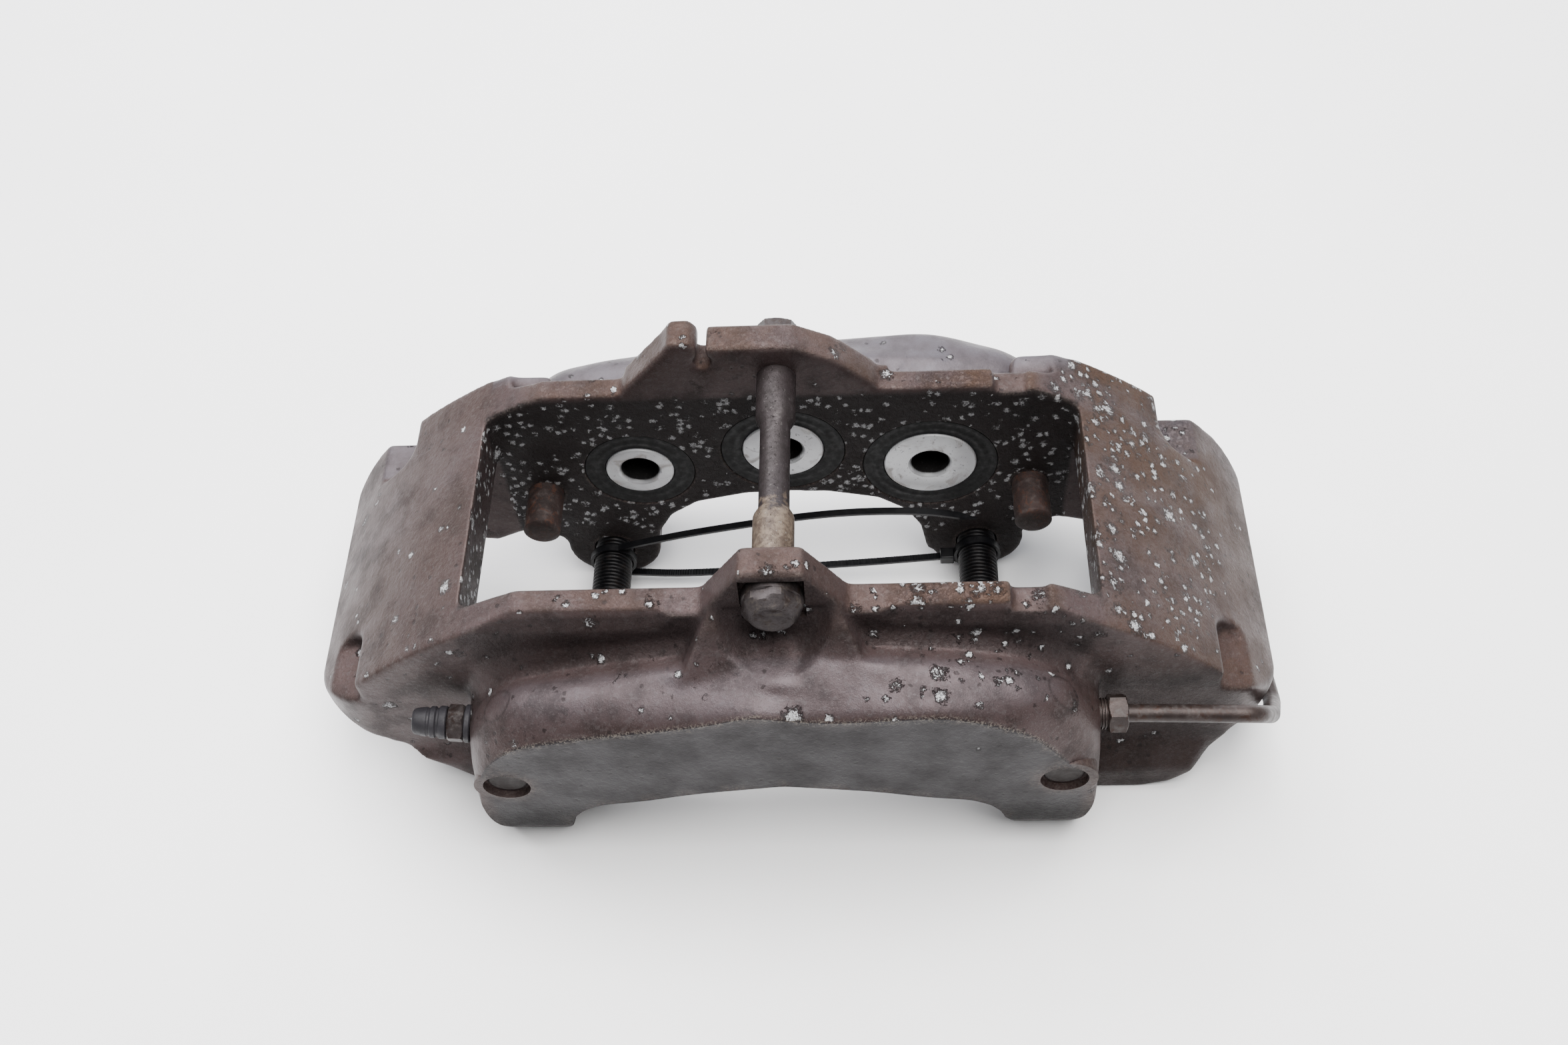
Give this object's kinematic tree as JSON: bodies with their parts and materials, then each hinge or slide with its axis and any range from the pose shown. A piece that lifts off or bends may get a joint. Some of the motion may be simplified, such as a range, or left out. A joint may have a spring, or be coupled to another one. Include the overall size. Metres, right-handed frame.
{
  "type": "brake caliper",
  "caption": "Monobloc opposed-piston brake caliper with pad window, tie bolt and sleeve, crossover pipe, bleed screws and mounting bolts.",
  "frame": {"origin": "on the plane the caliper stands on, under the middle of the pad window; the disc axis is parallel to Y at x = 0, z = -0.078", "axes": "+X along the caliper from the small piston to the large piston; +Y across the disc towards the inboard half; +Z away from the disc axis, up through the pad window"},
  "size_m": [0.3203, 0.15, 0.1285],
  "materials": {
    "cast_housing": "oxidised cast aluminium, brown-grey with pale corrosion pits",
    "piston_metal": "bright machined face with stains",
    "seal_rubber": "matt black rubber",
    "boot_rubber": "matt black rubber",
    "tie_bolt_steel": "tarnished steel",
    "sleeve_steel": "tarnished steel with golden brown end",
    "pipe_steel": "brown-grey coated steel tube, scratched",
    "rusty_pin": "red-brown rust",
    "plug_steel": "tarnished steel",
    "nylon_strap": "black nylon",
    "bleed_steel": "tarnished steel",
    "cap_rubber": "dark grey rubber",
    "black_steel": "black coated steel"
  },
  "bodies": {
    "caliper": {"caliper_body": "cast_housing", "seal_30_out": "seal_rubber", "boot_30_out": "boot_rubber", "seal_34_out": "seal_rubber", "boot_34_out": "boot_rubber", "seal_38_out": "seal_rubber", "boot_38_out": "boot_rubber", "seal_30_in": "seal_rubber", "boot_30_in": "boot_rubber", "seal_34_in": "seal_rubber", "boot_34_in": "boot_rubber", "seal_38_in": "seal_rubber", "boot_38_in": "boot_rubber", "tie_bolt": "tie_bolt_steel", "tie_nut": "tie_bolt_steel", "spacer_sleeve": "sleeve_steel", "crossover_pipe": "pipe_steel", "tube_nut_out": "pipe_steel", "tube_nut_in": "pipe_steel", "abutment_pins_out": "rusty_pin", "abutment_pins_in": "rusty_pin", "bore_plugs": "plug_steel", "cable_tie": "nylon_strap"},
    "piston_30_out": {"piston_30_out": "piston_metal"},
    "piston_34_out": {"piston_34_out": "piston_metal"},
    "piston_38_out": {"piston_38_out": "piston_metal"},
    "piston_30_in": {"piston_30_in": "piston_metal"},
    "piston_34_in": {"piston_34_in": "piston_metal"},
    "piston_38_in": {"piston_38_in": "piston_metal"},
    "bleed_screw_out": {"bleed_screw_out": "bleed_steel"},
    "bleed_cap_out": {"bleed_cap_out": "cap_rubber"},
    "bleed_screw_in": {"bleed_screw_in": "bleed_steel"},
    "bleed_cap_in": {"bleed_cap_in": "cap_rubber"},
    "mounting_bolt_left": {"mounting_bolt_left": "black_steel"},
    "mounting_bolt_right": {"mounting_bolt_right": "black_steel"}
  },
  "joints": [
    {"name": "piston_slide_30_out", "type": "slide", "parent": "caliper", "child": "piston_30_out", "axis": [0, 1, 0], "range_m": [0, 0.012], "deforming": ["boot_30_out"]},
    {"name": "piston_slide_34_out", "type": "slide", "parent": "caliper", "child": "piston_34_out", "axis": [0, 1, 0], "range_m": [0, 0.012], "deforming": ["boot_34_out"]},
    {"name": "piston_slide_38_out", "type": "slide", "parent": "caliper", "child": "piston_38_out", "axis": [0, 1, 0], "range_m": [0, 0.012], "deforming": ["boot_38_out"]},
    {"name": "piston_slide_30_in", "type": "slide", "parent": "caliper", "child": "piston_30_in", "axis": [0, -1, 0], "range_m": [0, 0.012], "deforming": ["boot_30_in"]},
    {"name": "piston_slide_34_in", "type": "slide", "parent": "caliper", "child": "piston_34_in", "axis": [0, -1, 0], "range_m": [0, 0.012], "deforming": ["boot_34_in"]},
    {"name": "piston_slide_38_in", "type": "slide", "parent": "caliper", "child": "piston_38_in", "axis": [0, -1, 0], "range_m": [0, 0.012], "deforming": ["boot_38_in"]},
    {"name": "bleed_turn_out", "type": "hinge", "parent": "caliper", "child": "bleed_screw_out", "pos_m": [-0.099, -0.057, 0.0565], "axis": [-0.9903, 0, 0.1392], "range_deg": [0, 180]},
    {"name": "cap_pull_out", "type": "slide", "parent": "bleed_screw_out", "child": "bleed_cap_out", "axis": [-0.9903, 0, 0.1392], "range_m": [0, 0.016]},
    {"name": "bleed_turn_in", "type": "hinge", "parent": "caliper", "child": "bleed_screw_in", "pos_m": [-0.099, 0.0595, 0.0535], "axis": [-0.9903, 0, 0.1392], "range_deg": [0, 180]},
    {"name": "cap_pull_in", "type": "slide", "parent": "bleed_screw_in", "child": "bleed_cap_in", "axis": [-0.9903, 0, 0.1392], "range_m": [0, 0.016]},
    {"name": "bolt_withdraw_left", "type": "slide", "parent": "caliper", "child": "mounting_bolt_left", "axis": [0, 1, 0], "range_m": [0, 0.055]},
    {"name": "bolt_withdraw_right", "type": "slide", "parent": "caliper", "child": "mounting_bolt_right", "axis": [0, 1, 0], "range_m": [0, 0.055]}
  ]
}
